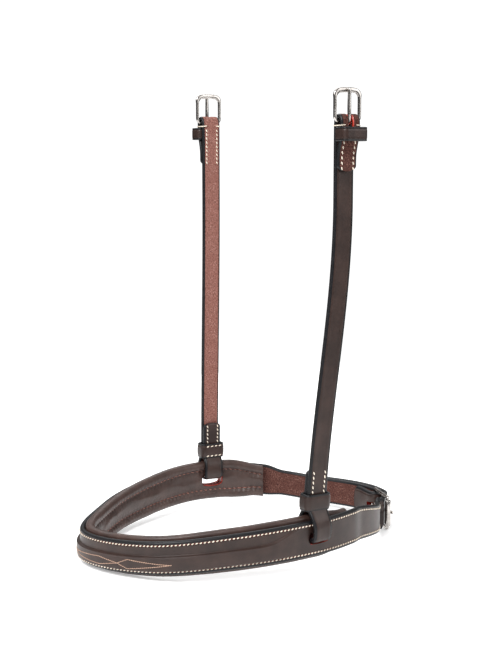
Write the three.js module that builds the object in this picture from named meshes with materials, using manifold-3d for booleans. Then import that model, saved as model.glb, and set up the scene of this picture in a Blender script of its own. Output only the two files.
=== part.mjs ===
// Padded cavesson noseband with two cheek hangers, closed on its roller buckle.
// Millimetres, +Z up. The nose is at -X, the jaw and its buckle at +X, and the
// wearer's left (near) side at -Y. The origin is on the floor, midway across.
//
// Along the band a place is (s, n): s runs from the middle of the nose round the
// near side and back by the far side, n is the distance outwards from the middle line.

import * as THREE from 'three';
import { mergeVertices } from 'three/addons/utils/BufferGeometryUtils.js';
import Module from 'manifold-3d';

const wasm = await Module();
wasm.setup();

// ---- driving dimensions

const planRadii = [125.5, 115.5, 98.5, 92, 92.5, 105, 123, 113, 99.5, 93.5, 90.5, 101.5];
const gap = 0.3; // between pieces that touch

const crestAt = 186.8; // from the nose to the highest part of the band
const nearSlotAt = 183.2; // from the nose to the middle of the slot
const farSlotAt = 184.6;
const slotWidth = 18;
const slotBottom = -3.5; // from the middle height of the band
const slotTop = 4.5;

const noseLift = 13.7; // height of the band's middle line above the floor
const slotLift = 24.1;
const jawLift = 14;
const nearFall = [215, 305]; // where the band comes down to the jaw on each side
const farFall = [186.8, 296];

const leather = 4; // thickness of the outer strap
const strapOut = 2.5; // the outer strap rides on its lining by this much
const noseStrapHeight = 23;
const slotStrapHeight = 26;
const plainStrapHeight = 21.4;

const liningNear = 218; // the padded lining ends here on each side
const liningFar = 230;
const noseLiningHeight = 27.4;
const slotLiningHeight = 32;
const rollRadius = 3.6;
const liningFace = 0.2; // outer face of the lining
const liningWaist = -5; // inner face between the two rolls

const raise = 2.2; // swell of the strap over its filler
const raiseHalf = 6.5;
const raiseLevel = 120;
const raiseEnd = 165;
const fillerEnd = 135;

const rollerAt = new THREE.Vector2(111, -36.5);
const barAt = new THREE.Vector2(118, -8.5);
const rollerRadius = 2.3;
const rollerBore = 1.7;
const rollerLength = 20.6;
const frameHeight = 28;
const frameArm = 3;
const barSize = 2.6; // square bars of both kinds of buckle
const pinSize = 2; // the square bar inside the roller
const eyeBore = 2.1;
const eyeRadius = 3.5;
const billetTip = 406;
const turnbackEnd = 353;
const rearKeeperAt = 395;
const holePitch = 20;

const threadSize = 0.8;
const edgeInset = 2.4; // from a strap's edge to its row of stitches

const hangerWidth = 15.6;
const hangerLeather = 3.7;
const pivotOut = -1.5;
const pivotUp = 19.9;
const tabTop = 48;
const keeperLeather = 1.7;
const keeperRoom = 0.6; // beside the strap
const lowerKeeperHeight = 12;
const lowerKeeperUp = 25.2; // middle, from the slot
const upperKeeperHeight = 9.6;
const upperKeeperDown = 8.8; // middle, below the buckle's bar
const buckleWidth = 22;
const buckleReach = 22.5; // from the bar to the far edge of the frame
const tongueWidth = 3;
const tongueDepth = 2.2;

const sides = [
  { name: 'near', s: nearSlotAt, turn: Math.PI, lean: -20.5, rise: 0, barUp: 289.5 },
  { name: 'far', s: -farSlotAt, turn: 0, lean: 2.4, rise: 3.7, barUp: 293.5 },
];

// ---- materials

const finish = (color, roughness, metalness = 0) =>
  new THREE.MeshStandardMaterial({ color, roughness, metalness });
const grain = () => finish(0x35241f, 0.45);
const lining = () => finish(0x43302a, 0.5);
const felt = () => finish(0x8a8378, 0.95);
const thread = () => finish(0xe6dccb, 0.8);
const steel = () => finish(0xb9bab8, 0.3, 1);

const group = new THREE.Group();
const named = (name, geometry, material) => {
  const mesh = new THREE.Mesh(geometry, material);
  mesh.name = name;
  return mesh;
};

// ---- the band's line

const plan = new THREE.CatmullRomCurve3(
  planRadii.map((radius, i) => {
    const angle = -Math.PI + (i * Math.PI * 2) / planRadii.length;
    return new THREE.Vector3(radius * Math.cos(angle), radius * Math.sin(angle), 0);
  }),
  true,
  'catmullrom',
  0.5,
);
plan.arcLengthDivisions = 960;
const girth = plan.getLength();

const place = (s, n = 0) => {
  const u = THREE.MathUtils.euclideanModulo(s / girth, 1);
  const at = plan.getPointAt(u);
  const along = plan.getTangentAt(u);
  return new THREE.Vector2(at.x + n * along.y, at.y - n * along.x);
};

const fromNose = (s) => {
  const round = THREE.MathUtils.euclideanModulo(s, girth);
  return Math.min(round, girth - round);
};
const mix = THREE.MathUtils.lerp;
const clamp = THREE.MathUtils.clamp;
const wave = (from, to, x) => (1 - Math.cos(Math.PI * clamp((x - from) / (to - from), 0, 1))) / 2;

const onFarSide = (s) => THREE.MathUtils.euclideanModulo(s, girth) > girth / 2;
const lift = (s) => {
  const a = fromNose(s);
  return a < crestAt
    ? mix(noseLift, slotLift, wave(0, crestAt, a))
    : mix(slotLift, jawLift, wave(...(onFarSide(s) ? farFall : nearFall), a));
};
const liningEnd = (s) => (onFarSide(s) ? liningFar : liningNear);
const padded = (s) => 1 - wave(liningEnd(s) + 2, liningEnd(s) + 18, fromNose(s));
const strapHeight = (s) => {
  const a = fromNose(s);
  const broad = mix(noseStrapHeight, slotStrapHeight, wave(0, crestAt, a));
  const narrowing = onFarSide(s) ? 18 : 72;
  return mix(broad, plainStrapHeight, wave(liningEnd(s) + 2, liningEnd(s) + narrowing, a));
};
const swell = (s) => raise * (1 - wave(raiseLevel, raiseEnd, fromNose(s)));

// ---- solids

// A closed tube of sections: rings of points, all of the same count, capped at both ends.
const loft = (rings) => {
  const count = rings[0].length;
  const corners = rings.flat();
  const faces = [];
  for (let i = 0; i + 1 < rings.length; i += 1) {
    for (let j = 0; j < count; j += 1) {
      const a = i * count + j;
      const b = i * count + ((j + 1) % count);
      faces.push(a, b + count, b, a, a + count, b + count);
    }
  }
  for (const [ring, first] of [[rings[0], 0], [rings.at(-1), (rings.length - 1) * count]]) {
    const centre = ring.reduce((sum, p) => sum.add(p), new THREE.Vector3()).divideScalar(count);
    const hub = corners.push(centre) - 1;
    for (let j = 0; j < count; j += 1) {
      const next = (j + 1) % count;
      faces.push(...(first === 0 ? [hub, j, next] : [hub, first + next, first + j]));
    }
  }
  const geometry = new THREE.BufferGeometry().setFromPoints(corners);
  geometry.setIndex(faces);
  return geometry;
};

// Sections (n, z) set upright along a line of plan points.
const ribbon = (line, sectionAt) => loft(line.map((stop, i) => {
  const before = line[Math.max(i - 1, 0)].at;
  const after = line[Math.min(i + 1, line.length - 1)].at;
  const along = after.clone().sub(before).normalize();
  return sectionAt(stop).map(([n, z]) =>
    new THREE.Vector3(stop.at.x + n * along.y, stop.at.y - n * along.x, stop.up + z));
}));

const steps = (from, to, size) => {
  const count = Math.max(1, Math.round(Math.abs(to - from) / size));
  return Array.from({ length: count + 1 }, (_, i) => mix(from, to, i / count));
};

const bandLine = (from, to, size, outAt = () => 0) =>
  steps(from, to, size).map((s) => ({ s, at: place(s, outAt(s)), up: lift(s) }));

const toSolid = (geometry) => {
  const bare = geometry.clone();
  bare.deleteAttribute('normal');
  bare.deleteAttribute('uv');
  const merged = mergeVertices(bare, 1e-4);
  return new wasm.Manifold(new wasm.Mesh({
    numProp: 3,
    vertProperties: new Float32Array(merged.attributes.position.array),
    triVerts: new Uint32Array(merged.index.array),
  }));
};

const toGeometry = (solid) => {
  const mesh = solid.getMesh();
  const geometry = new THREE.BufferGeometry();
  geometry.setAttribute('position', new THREE.BufferAttribute(mesh.vertProperties, 3));
  geometry.setIndex(new THREE.BufferAttribute(mesh.triVerts, 1));
  return geometry;
};

const cut = (geometry, tools) => {
  let solid = toSolid(geometry);
  for (const tool of tools) solid = solid.subtract(toSolid(tool));
  return toGeometry(solid);
};

const join = (geometries) => {
  let solid = toSolid(geometries[0]);
  for (const geometry of geometries.slice(1)) solid = solid.add(toSolid(geometry));
  return toGeometry(solid);
};

// An outline in (n, z) given the width it has along x.
const across = (outline, width) => {
  const settings = { depth: width, bevelEnabled: false, curveSegments: 8 };
  const geometry = new THREE.ExtrudeGeometry(outline, settings);
  geometry.translate(0, 0, -width / 2);
  geometry.applyMatrix4(new THREE.Matrix4().set(0, 0, 1, 0, 1, 0, 0, 0, 0, 1, 0, 0, 0, 0, 0, 1));
  return geometry;
};

const outlineOf = (points) => new THREE.Shape(points.map(([x, y]) => new THREE.Vector2(x, y)));

const arc = (x, y, radius, from, to, count) =>
  steps(from, to, Math.abs(to - from) / count)
    .map((a) => [x + radius * Math.cos(a), y + radius * Math.sin(a)]);

const box = (x0, x1, y0, y1) => [[x0, y0], [x1, y0], [x1, y1], [x0, y1]];

// Turned to run along the band at s, with +Y inwards.
const alongBand = (geometry, s, out = 0) => {
  const ahead = place(s + 1).sub(place(s - 1));
  geometry.rotateZ(Math.atan2(ahead.y, ahead.x));
  const at = place(s, out);
  return geometry.translate(at.x, at.y, lift(s));
};

// ---- the rear buckle's own axes: e from the roller towards the bar, m outwards

const reach = barAt.distanceTo(rollerAt);
const chordWay = barAt.clone().sub(rollerAt).normalize();
const chord = (e, m) => new THREE.Vector2(
  rollerAt.x + e * chordWay.x + m * chordWay.y,
  rollerAt.y + e * chordWay.y - m * chordWay.x,
);

// A solid drawn with x as e and y as -m, put in its place.
const onChord = (geometry) => {
  geometry.rotateZ(Math.atan2(chordWay.y, chordWay.x));
  return geometry.translate(rollerAt.x, rollerAt.y, jawLift);
};

// ---- the outer strap: turned back round the bar, round the nose, under the roller, out to its tip

const foldRadius = eyeBore + leather / 2;
const underRoller = rollerRadius + gap + leather / 2;
const overFold = foldRadius + leather + gap;
const slant = Math.asin((underRoller + overFold) / reach);
const tongueRise = rollerRadius + gap + tongueDepth / 2;
const tongueLean = Math.asin(tongueRise / reach);

const strapLine = () => {
  const onBuckle = (points) => points.map(([e, m]) => ({ s: girth / 2, at: chord(e, m), up: jawLift }));
  const turnback = steps(turnbackEnd, 333, 7).map((s) => {
    const out = 2 * wave(333, turnbackEnd, s) - 2 * foldRadius;
    return { s: girth / 2, at: place(s, out), up: jawLift };
  });
  const fold = onBuckle(arc(reach, 0, foldRadius, -Math.PI / 2, -Math.PI * 1.5, 6));
  const round = bandLine(338, girth + 262, 8, (s) => strapOut * padded(s));
  const entry = bandLine(girth + 270, girth + 294, 8, (s) => -3.6 * wave(girth + 262, girth + 300, s));
  const window = onBuckle([
    [underRoller * Math.sin(slant), -underRoller * Math.cos(slant)],
    [reach / 2, ((overFold - underRoller) / 2) * Math.cos(slant)],
    ...arc(reach, 0, overFold, Math.PI / 2 + slant, Math.PI / 2, 2),
  ]);
  const tail = bandLine(340, billetTip, 8, () => leather + gap).map((stop) => ({ ...stop, s: girth / 2 }));
  return [...turnback, ...fold, ...round, ...entry, ...window, ...tail];
};

const strapSection = ({ s }) => {
  const half = strapHeight(s) / 2;
  const out = leather / 2;
  const lump = swell(s);
  return [
    [out, -half], [out, -raiseHalf - 2], [out + lump, -raiseHalf], [out + lump, raiseHalf],
    [out, raiseHalf + 2], [out, half], [-out, half], [-out, raiseHalf + 2],
    [-out + lump, raiseHalf], [-out + lump, -raiseHalf], [-out, -raiseHalf - 2], [-out, -half],
  ];
};

const billetHoles = [345, 345 + holePitch, 345 + 2 * holePitch].map((s) =>
  alongBand(new THREE.CylinderGeometry(2, 2, leather + 2, 10), s, leather + gap));

// Room for the tongue through the billet, and through the fold for its eye.
const tongueRoom = () => {
  const way = new THREE.BoxGeometry(reach - 6, tongueDepth + 3, tongueWidth + 2);
  way.translate(-reach / 2, -1.1, 0);
  way.rotateZ(tongueLean);
  return onChord(way.translate(reach, 0, 0));
};
const eyeRoom = () => onChord(new THREE.BoxGeometry(14, 14, tongueWidth + 2).translate(reach - 3, 0, 0));

const slotBlock = (side) => alongBand(
  new THREE.BoxGeometry(slotWidth, 30, slotTop - slotBottom).translate(0, 0, (slotTop + slotBottom) / 2),
  side.s,
);

const strap = ribbon(strapLine(), strapSection);
group.add(named('outer_strap', cut(strap, [
  ...sides.map(slotBlock),
  ...billetHoles,
  tongueRoom(),
  eyeRoom(),
]), grain()));

// ---- the padded lining and the filler between it and the strap

const liningSection = ({ s }) => {
  const full = mix(noseLiningHeight, slotLiningHeight, wave(0, crestAt, fromNose(s)));
  const half = mix(full, plainStrapHeight + 5, wave(liningEnd(s) - 30, liningEnd(s), fromNose(s))) / 2;
  const middle = liningFace - rollRadius;
  const roll = (up, from, to) => arc(middle, up, rollRadius, from, to, 4);
  return [
    [liningFace, -half + rollRadius], [liningFace, half - rollRadius],
    ...roll(half - rollRadius, Math.PI * 0.25, Math.PI),
    [liningWaist, half - 2.2 * rollRadius], [liningWaist, -half + 2.2 * rollRadius],
    ...roll(-half + rollRadius, Math.PI, Math.PI * 1.75),
  ];
};
const liningLine = bandLine(-liningFar, liningNear, 8);
group.add(named('lining_pad', cut(ribbon(liningLine, liningSection), sides.map(slotBlock)), lining()));

const fillerSection = ({ s }) => {
  const inner = strapOut - leather / 2;
  const outer = inner + swell(s) - gap;
  const half = raiseHalf - 1;
  return [[outer, -half], [outer, half], [inner, half], [inner, -half]];
};
group.add(named('nose_filler', ribbon(bandLine(-fillerEnd, fillerEnd, 9), fillerSection), felt()));

// ---- the thread of the band's stitch rows, lying on the leather

const threadOut = strapOut + leather / 2 + 1.6 * gap + threadSize / 2;
const square = (n, z, size = threadSize / 2) => box(n - size, n + size, z - size, z + size);
for (const [name, edge] of [['top_edge_thread', 1], ['bottom_edge_thread', -1]]) {
  const section = ({ s }) => square(
    threadOut - strapOut * (1 - padded(s)),
    edge * (strapHeight(s) / 2 - edgeInset),
  );
  group.add(named(name, ribbon(bandLine(billetTip + 4 - girth, 255, 9), section), thread()));
}

// Two crossing threads make a lens and a long diamond on each side of the nose.
const ornamentHalf = 3.4;
const ornament = [
  [-78, 0], [-48, 1], [-40, 0], [-24, -0.85], [-7, 0],
  [7, 0.4], [24, 0.85], [40, 0], [48, -1], [78, 0],
];
const ornamentAt = (s) => {
  const next = ornament.findIndex(([end]) => s <= end + 1e-6);
  const [s1, z1] = ornament[Math.max(next, 1)];
  const [s0, z0] = ornament[Math.max(next, 1) - 1];
  return ornamentHalf * mix(z0, z1, (s - s0) / (s1 - s0));
};
const ornamentRow = (sign) => {
  const section = ({ s }) => square(threadOut + raise, sign * ornamentAt(s));
  return ribbon(bandLine(-77, 77, 7), section);
};
group.add(named('ornament_thread', join([ornamentRow(1), ornamentRow(-1)]), thread()));

// ---- the rear roller buckle and its keeper

const hollow = (outline, hole) => {
  const shape = outlineOf(outline);
  shape.holes.push(new THREE.Path(hole.map(([x, y]) => new THREE.Vector2(x, y))));
  return shape;
};
const slab = (shape, depth) => {
  const geometry = new THREE.ExtrudeGeometry(shape, { depth, bevelEnabled: false, curveSegments: 6 });
  return geometry.translate(0, 0, -depth / 2);
};

const half = barSize / 2;
const rearFrame = slab(hollow(
  box(-pinSize / 2, reach + half, -frameHeight / 2, frameHeight / 2),
  box(pinSize / 2, reach - half, -frameHeight / 2 + frameArm, frameHeight / 2 - frameArm),
), pinSize);
rearFrame.rotateX(Math.PI / 2);
group.add(named('rear_buckle_frame', onChord(rearFrame), steel()));

const roller = new THREE.LatheGeometry([
  [rollerBore, -rollerLength / 2], [rollerRadius, -rollerLength / 2],
  [rollerRadius, rollerLength / 2], [rollerBore, rollerLength / 2], [rollerBore, -rollerLength / 2],
].map(([x, y]) => new THREE.Vector2(x, y)), 20);
roller.rotateX(Math.PI / 2);
group.add(named('rear_roller', onChord(roller), steel()));

// A tongue drawn with its eye at the origin, its shank along +X but leaning upwards.
const tongueOutline = (tip, lean) => {
  const turned = (x, y) => [x * Math.cos(lean) - y * Math.sin(lean), x * Math.sin(lean) + y * Math.cos(lean)];
  const start = Math.asin(tongueDepth / 2 / eyeRadius);
  const eye = arc(0, 0, eyeRadius, start, Math.PI * 2 - start, 14).map(([x, y]) => turned(x, y));
  return hollow(
    [...eye, turned(tip, -tongueDepth / 2), turned(tip + 1.2, 0), turned(tip, tongueDepth / 2)],
    arc(0, 0, eyeBore, 0, Math.PI * 1.9, 11),
  );
};

const rearTongue = slab(tongueOutline(reach + 1.5, tongueLean), tongueWidth);
rearTongue.rotateZ(Math.PI);
group.add(named('rear_tongue', onChord(rearTongue.translate(reach, 0, 0)), steel()));

const ring = (x0, x1, y0, y1, wall, depth) =>
  slab(hollow(box(x0 - wall, x1 + wall, y0 - wall, y1 + wall), box(x0, x1, y0, y1)), depth);
const rearKeeper = ring(-plainStrapHeight / 2 - 4 * gap, plainStrapHeight / 2 + 4 * gap,
  -leather * 1.5 - 4 * gap, leather / 2 + 3 * gap, keeperLeather - 0.2, 10);
rearKeeper.rotateY(Math.PI / 2);
group.add(named('rear_keeper', alongBand(rearKeeper, rearKeeperAt), grain()));

// ---- hangers, drawn in axes of their own: x along the band, n outwards, z up from the slot

const outerFace = pivotOut + hangerLeather;
const innerFace = pivotOut - hangerLeather;
const barOut = outerFace + eyeBore;
const lieClose = 22; // below the bar, where the turned-back end meets the strap again
const turnbackLength = 34;
const turnbackLeather = 3.2;

// The strap leans sideways as it rises, and stands upright from uprightFrom of its height.
const uprightFrom = 0.8;
const leaned = (geometry, side) => {
  const position = geometry.attributes.position;
  for (let i = 0; i < position.count; i += 1) {
    const t = clamp((position.getZ(i) - pivotUp) / (side.barUp - pivotUp) / uprightFrom, 0, 1);
    position.setX(i, position.getX(i) + side.lean * mix(1.5 * t - 0.5 * t ** 3, wave(0, 1, t), 0.6));
  }
  return geometry;
};

const strapOutline = ({ barUp }) => {
  const turnOut = barOut + eyeBore;
  const outer = [
    ...arc(pivotOut, pivotUp, hangerLeather, 0, -Math.PI, 8).reverse(),
    ...steps(pivotUp + 12, barUp - turnbackLength, 20).map((z) => [outerFace, z]),
    [outerFace + turnbackLeather - 0.6, barUp - turnbackLength],
    [outerFace + turnbackLeather, barUp - turnbackLength + 2],
    [outerFace + turnbackLeather, barUp - lieClose],
    [turnOut + turnbackLeather - 1, barUp - 12],
    ...arc(barOut, barUp, eyeBore + turnbackLeather, 0, Math.PI, 10),
    ...steps(barUp - 15, tabTop, 20).map((z) => [pivotOut, z]),
    [innerFace + 0.6, tabTop],
    [innerFace, tabTop - 2],
    [innerFace, pivotUp + 12],
  ];
  const opening = [
    [outerFace, barUp - lieClose + 1.5], [turnOut - 1, barUp - 12],
    ...arc(barOut, barUp, eyeBore, 0, Math.PI, 8),
  ];
  return hollow(outer, opening);
};

const loopOutline = (rise) => {
  const inside = liningFace - 2 * rollRadius - 0.6;
  const outside = strapOut + leather / 2 + 2;
  const floor = slotBottom + gap + rise;
  const thick = hangerLeather - 0.1;
  const top = 14.3;
  return outlineOf([
    [outside + thick, floor + 1.5], [outside + thick, 12], [outside + thick - 1.6, top],
    [outside - 1.2, top], [outside, 12.8], [outside, floor + thick], [inside, floor + thick],
    [inside, 12.8], [inside + 0.2, top], [inside + 0.2 - thick, top], [inside - thick, 12],
    [inside - thick, floor + 1.5], [inside - thick + 1.5, floor], [outside + thick - 1.5, floor],
  ]);
};

const seamBetween = (points, spread) => {
  const rise = points.map(([n, z]) => [-spread, n, z]);
  const path = [...rise, ...rise.toReversed().map(([x, n, z]) => [-x, n, z])];
  const size = threadSize / 2;
  return loft(path.map(([x, n, z], i) => {
    const before = path[Math.max(i - 1, 0)];
    const after = path[Math.min(i + 1, path.length - 1)];
    const way = new THREE.Vector2(after[0] - before[0], after[2] - before[2]).normalize();
    return [[-size, -size], [-size, size], [size, size], [size, -size]].map(([a, b]) =>
      new THREE.Vector3(x + a * way.y, n + b, z - a * way.x));
  }));
};

const makeHanger = (side) => {
  const hanger = new THREE.Group();
  const { barUp } = side;
  const add = (part, geometry, material) =>
    hanger.add(named(`${side.name}_${part}`, leaned(geometry, side), material));

  const body = leaned(across(strapOutline(side), hangerWidth), side);
  const tongueSlot = new THREE.BoxGeometry(tongueWidth + 2, 16, 12.5);
  tongueSlot.translate(side.lean, barOut, barUp + 1.75);
  hanger.add(named(`${side.name}_hanger_strap`, cut(body, [tongueSlot]), grain()));

  const wide = hangerWidth / 2 + keeperRoom;
  const overSeam = outerFace + threadSize + 2 * gap; // the keeper slides up over the lower seam
  const lower = ring(-wide, wide, innerFace - gap, overSeam, keeperLeather, lowerKeeperHeight);
  add('lower_keeper', lower.translate(0, 0, lowerKeeperUp), grain());

  const upper = slab(hollow(
    box(-wide - keeperLeather, wide + keeperLeather, outerFace + 0.5, outerFace + 14.2),
    box(-wide, wide, outerFace + 2.2, outerFace + 12.4),
  ), upperKeeperHeight);
  add('upper_keeper', upper.translate(0, 0, barUp - upperKeeperDown), grain());

  const ringFrame = slab(hollow(
    box(-buckleWidth / 2, buckleWidth / 2, -half, buckleReach),
    box(-buckleWidth / 2 + 2.6, buckleWidth / 2 - 2.6, half, buckleReach - 3.2),
  ), barSize).rotateX(Math.PI / 2);
  add('buckle_frame', ringFrame.translate(0, barOut, barUp), steel());

  const lean = Math.asin((half + gap + tongueDepth / 2) / (buckleReach - 4));
  const tongue = slab(tongueOutline(buckleReach + 0.5, lean), tongueWidth);
  tongue.applyMatrix4(new THREE.Matrix4().set(0, 0, -1, 0, 0, 1, 0, 0, 1, 0, 0, 0, 0, 0, 0, 1));
  add('buckle_tongue', tongue.translate(0, barOut, barUp), steel());

  const clear = gap + threadSize / 2;
  add('lower_seam', seamBetween([[outerFace + clear, 33.5], [outerFace + clear, tabTop - 2]], 4.6), thread());
  const lap = outerFace + turnbackLeather + clear;
  add('upper_seam', seamBetween([
    [lap, barUp - 21], [lap, barUp - turnbackLength + 3],
  ], 4.6), thread());

  const at = place(side.s);
  hanger.rotation.z = side.turn;
  hanger.position.set(at.x, at.y, lift(side.s));
  return hanger;
};
for (const side of sides) {
  const loop = across(loopOutline(side.rise), hangerWidth).rotateZ(Math.PI);
  group.add(named(`${side.name}_hanger_loop`, alongBand(loop, side.s), grain()));
  group.add(makeHanger(side));
}

// The origin is under the middle of the whole noseband.
const extent = new THREE.Box3().setFromObject(group);
const middle = extent.getCenter(new THREE.Vector3());
group.position.set(-middle.x, -middle.y, -extent.min.z);

export default group;
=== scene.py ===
import math

import bmesh
import bpy
import numpy as np
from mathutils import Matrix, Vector


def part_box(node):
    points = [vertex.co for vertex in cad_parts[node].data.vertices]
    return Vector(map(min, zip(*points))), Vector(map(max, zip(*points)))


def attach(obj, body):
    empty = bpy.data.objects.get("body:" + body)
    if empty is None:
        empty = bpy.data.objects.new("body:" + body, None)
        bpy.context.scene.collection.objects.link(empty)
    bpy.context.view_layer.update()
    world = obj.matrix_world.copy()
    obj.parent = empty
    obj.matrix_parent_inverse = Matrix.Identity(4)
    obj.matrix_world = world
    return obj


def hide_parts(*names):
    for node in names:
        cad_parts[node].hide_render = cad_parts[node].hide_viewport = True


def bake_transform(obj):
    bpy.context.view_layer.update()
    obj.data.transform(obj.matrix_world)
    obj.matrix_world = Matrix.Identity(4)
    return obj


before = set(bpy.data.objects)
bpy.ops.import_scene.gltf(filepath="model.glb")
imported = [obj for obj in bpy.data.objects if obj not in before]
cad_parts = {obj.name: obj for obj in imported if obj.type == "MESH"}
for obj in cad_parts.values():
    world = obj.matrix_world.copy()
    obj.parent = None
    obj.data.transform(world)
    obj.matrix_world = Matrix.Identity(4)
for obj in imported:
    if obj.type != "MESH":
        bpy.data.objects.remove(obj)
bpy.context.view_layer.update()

# A padded cavesson noseband with its two cheek hangers. Sizes are in millimetres until a mesh is
# made. Along the band, s runs from the middle of the nose round the near side and back by the far
# side, n is outwards from the middle line, and z is up from the band's middle height.

up = np.array([0.0, 0.0, 1.0])


# ---- shader maths

class Wire:
    # one output of a node, which can be added, taken away, multiplied and divided

    def __init__(self, shader, socket):
        self.shader = shader
        self.socket = socket

    def math(self, operation, *values):
        return self.shader.node("ShaderNodeMath", {"operation": operation}, dict(enumerate(values)))

    def __add__(self, other):
        return self.math("ADD", self, other)

    def __sub__(self, other):
        return self.math("SUBTRACT", self, other)

    def __rsub__(self, other):
        return self.math("SUBTRACT", other, self)

    def __mul__(self, other):
        return self.math("MULTIPLY", self, other)

    def __truediv__(self, other):
        return self.math("DIVIDE", self, other)

    __radd__ = __add__
    __rmul__ = __mul__

    def smooth(self, low, high):
        settings = {"interpolation_type": "SMOOTHSTEP"}
        return self.shader.node("ShaderNodeMapRange", settings, {"Value": self, 1: low, 2: high})


class Shader:
    # a material being made

    def __init__(self, name):
        self.material = bpy.data.materials.new(name)
        self.material.use_nodes = True
        self.tree = self.material.node_tree
        self.surface = self.tree.nodes["Principled BSDF"]

    def node(self, kind, settings=None, inputs=None, output=0):
        made = self.tree.nodes.new(kind)
        for name, value in (settings or {}).items():
            setattr(made, name, value)
        for name, value in (inputs or {}).items():
            self.join(made.inputs[name], value)
        return Wire(self, made.outputs[output])

    def join(self, socket, value):
        if isinstance(value, Wire):
            self.tree.links.new(value.socket, socket)
        else:
            socket.default_value = value

    def place(self):
        return self.node("ShaderNodeTexCoord", output="Object")

    def alongStrap(self, stretch=(1, 1, 1)):
        along = self.node("ShaderNodeUVMap", {"uv_map": "leather"})
        return self.node("ShaderNodeMapping", None, {"Vector": along, "Scale": stretch})

    def edgeDistance(self):
        gaps = self.node("ShaderNodeUVMap", {"uv_map": "gaps"})
        return self.node("ShaderNodeSeparateXYZ", None, {0: gaps})

    def noise(self, where, scale, detail=3.0, roughness=0.5):
        sizes = {"Vector": where, "Scale": scale, "Detail": detail, "Roughness": roughness}
        return self.node("ShaderNodeTexNoise", None, sizes)

    def cells(self, where, scale):
        return self.node("ShaderNodeTexVoronoi", {"feature": "F1"}, {"Vector": where, "Scale": scale})

    def blend(self, share, first, second):
        colour = lambda value: value if isinstance(value, Wire) else (*value, 1.0)
        inputs = {0: share, 6: colour(first), 7: colour(second)}
        return self.node("ShaderNodeMix", {"data_type": "RGBA"}, inputs, output=2)

    def bump(self, height, distance, strength=1.0):
        sizes = {"Height": height, "Distance": distance, "Strength": strength}
        return self.node("ShaderNodeBump", None, sizes)

    def finish(self, **sockets):
        for name, value in sockets.items():
            self.join(self.surface.inputs[name.replace("_", " ")], value)
        return self.material


# ---- materials

grainLook = {
    "deep": (0.015, 0.0075, 0.0058),
    "light": (0.040, 0.0215, 0.017),
    "edgeBlack": (0.004, 0.0042, 0.005),
    "cellsPerMetre": 2300,
    "edgeBand": 1.5,
}


def grainLeather():
    shader = Shader("grainLeather")
    where = shader.place()
    cloudy = shader.noise(where, 90, 4).smooth(0.3, 0.72)
    fine = shader.noise(where, 900, 4, 0.6)
    cells = shader.cells(where, grainLook["cellsPerMetre"])
    creases = shader.noise(shader.alongStrap((0.5, 3.0, 1)), 2.2, 4, 0.6)
    gap = shader.edgeDistance() * 10
    black = 1 - gap.smooth(grainLook["edgeBand"] - 0.5, grainLook["edgeBand"] + 0.3)
    tone = shader.blend(cloudy * 0.6 + fine * 0.35, grainLook["deep"], grainLook["light"])
    tone = shader.blend(black * 0.85, tone, grainLook["edgeBlack"])
    height = cells * 0.45 + fine * 0.5 + creases * 0.8
    return shader.finish(
        Base_Color=tone,
        Roughness=0.33 + fine * 0.14 - black * 0.04,
        Specular_IOR_Level=0.36,
        Normal=shader.bump(height, 0.0001, 0.5),
    )


# These two looks are one flesh side: the lighter one, on the far hanger, is painted light, and the darker
# one, which the band also wears, is painted shade on the near hanger.
litFleshLook = {
    "dark": (0.050, 0.017, 0.0135),
    "deep": (0.13, 0.046, 0.036),
    "light": (0.30, 0.135, 0.108),
    "pale": (0.48, 0.28, 0.24),
}
darkFlesh = {
    "dark": (0.008, 0.0032, 0.0026),
    "deep": (0.034, 0.0125, 0.0095),
    "light": (0.115, 0.045, 0.035),
    "pale": (0.25, 0.13, 0.105),
}


def fleshLeather(name, look):
    # the brushed inner side of a strap, with its fibres lying slantwise
    shader = Shader(name)
    fibres = shader.noise(shader.alongStrap((1.0, 3.2, 1)), 6, 7, 0.72)
    cross = shader.noise(shader.alongStrap((2.2, 1.4, 1)), 5, 6, 0.7)
    patches = shader.noise(shader.alongStrap(), 1.4, 3)
    gap = shader.edgeDistance() * 10
    middle = gap.smooth(0.5, 4.5)
    tone = shader.blend(fibres.smooth(0.36, 0.62), look["deep"], look["light"])
    # pale pinkish patches away from the edges are the suede's sheen, painted into its colour
    paintedSheen = cross.smooth(0.50, 0.66) * patches.smooth(0.35, 0.62) * middle
    tone = shader.blend(paintedSheen * 0.8, tone, look["pale"])
    tone = shader.blend((1 - cross.smooth(0.34, 0.47)) * 0.85, tone, look["dark"])
    tone = shader.blend((1 - gap.smooth(0.2, 0.9)) * 0.8, tone, (0.010, 0.009, 0.010))
    return shader.finish(
        Base_Color=tone,
        Roughness=0.92,
        Specular_IOR_Level=0.2,
        Normal=shader.bump(fibres * 0.8 + cross * 0.7, 0.0005, 0.7),
    )


liningLook = {"deep": (0.022, 0.0115, 0.009), "light": (0.070, 0.039, 0.032), "cellsPerMetre": 1500}


def liningLeather():
    shader = Shader("liningLeather")
    where = shader.place()
    cloudy = shader.noise(where, 70, 4).smooth(0.28, 0.74)
    fine = shader.noise(where, 1200, 4, 0.6)
    cells = shader.cells(where, liningLook["cellsPerMetre"])
    wrinkles = shader.noise(shader.alongStrap((1.4, 0.5, 1)), 3.2, 5, 0.65)
    # the tone follows the wrinkles' height too, darker in their hollows: painted shade in the folds
    tone = shader.blend(cloudy * 0.55 + wrinkles * 0.45, liningLook["deep"], liningLook["light"])
    return shader.finish(
        Base_Color=tone,
        Roughness=0.30 + fine * 0.2,
        Specular_IOR_Level=0.42,
        Normal=shader.bump(cells * 0.35 + fine * 0.3 + wrinkles * 1.3, 0.0003, 0.6),
    )


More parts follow.
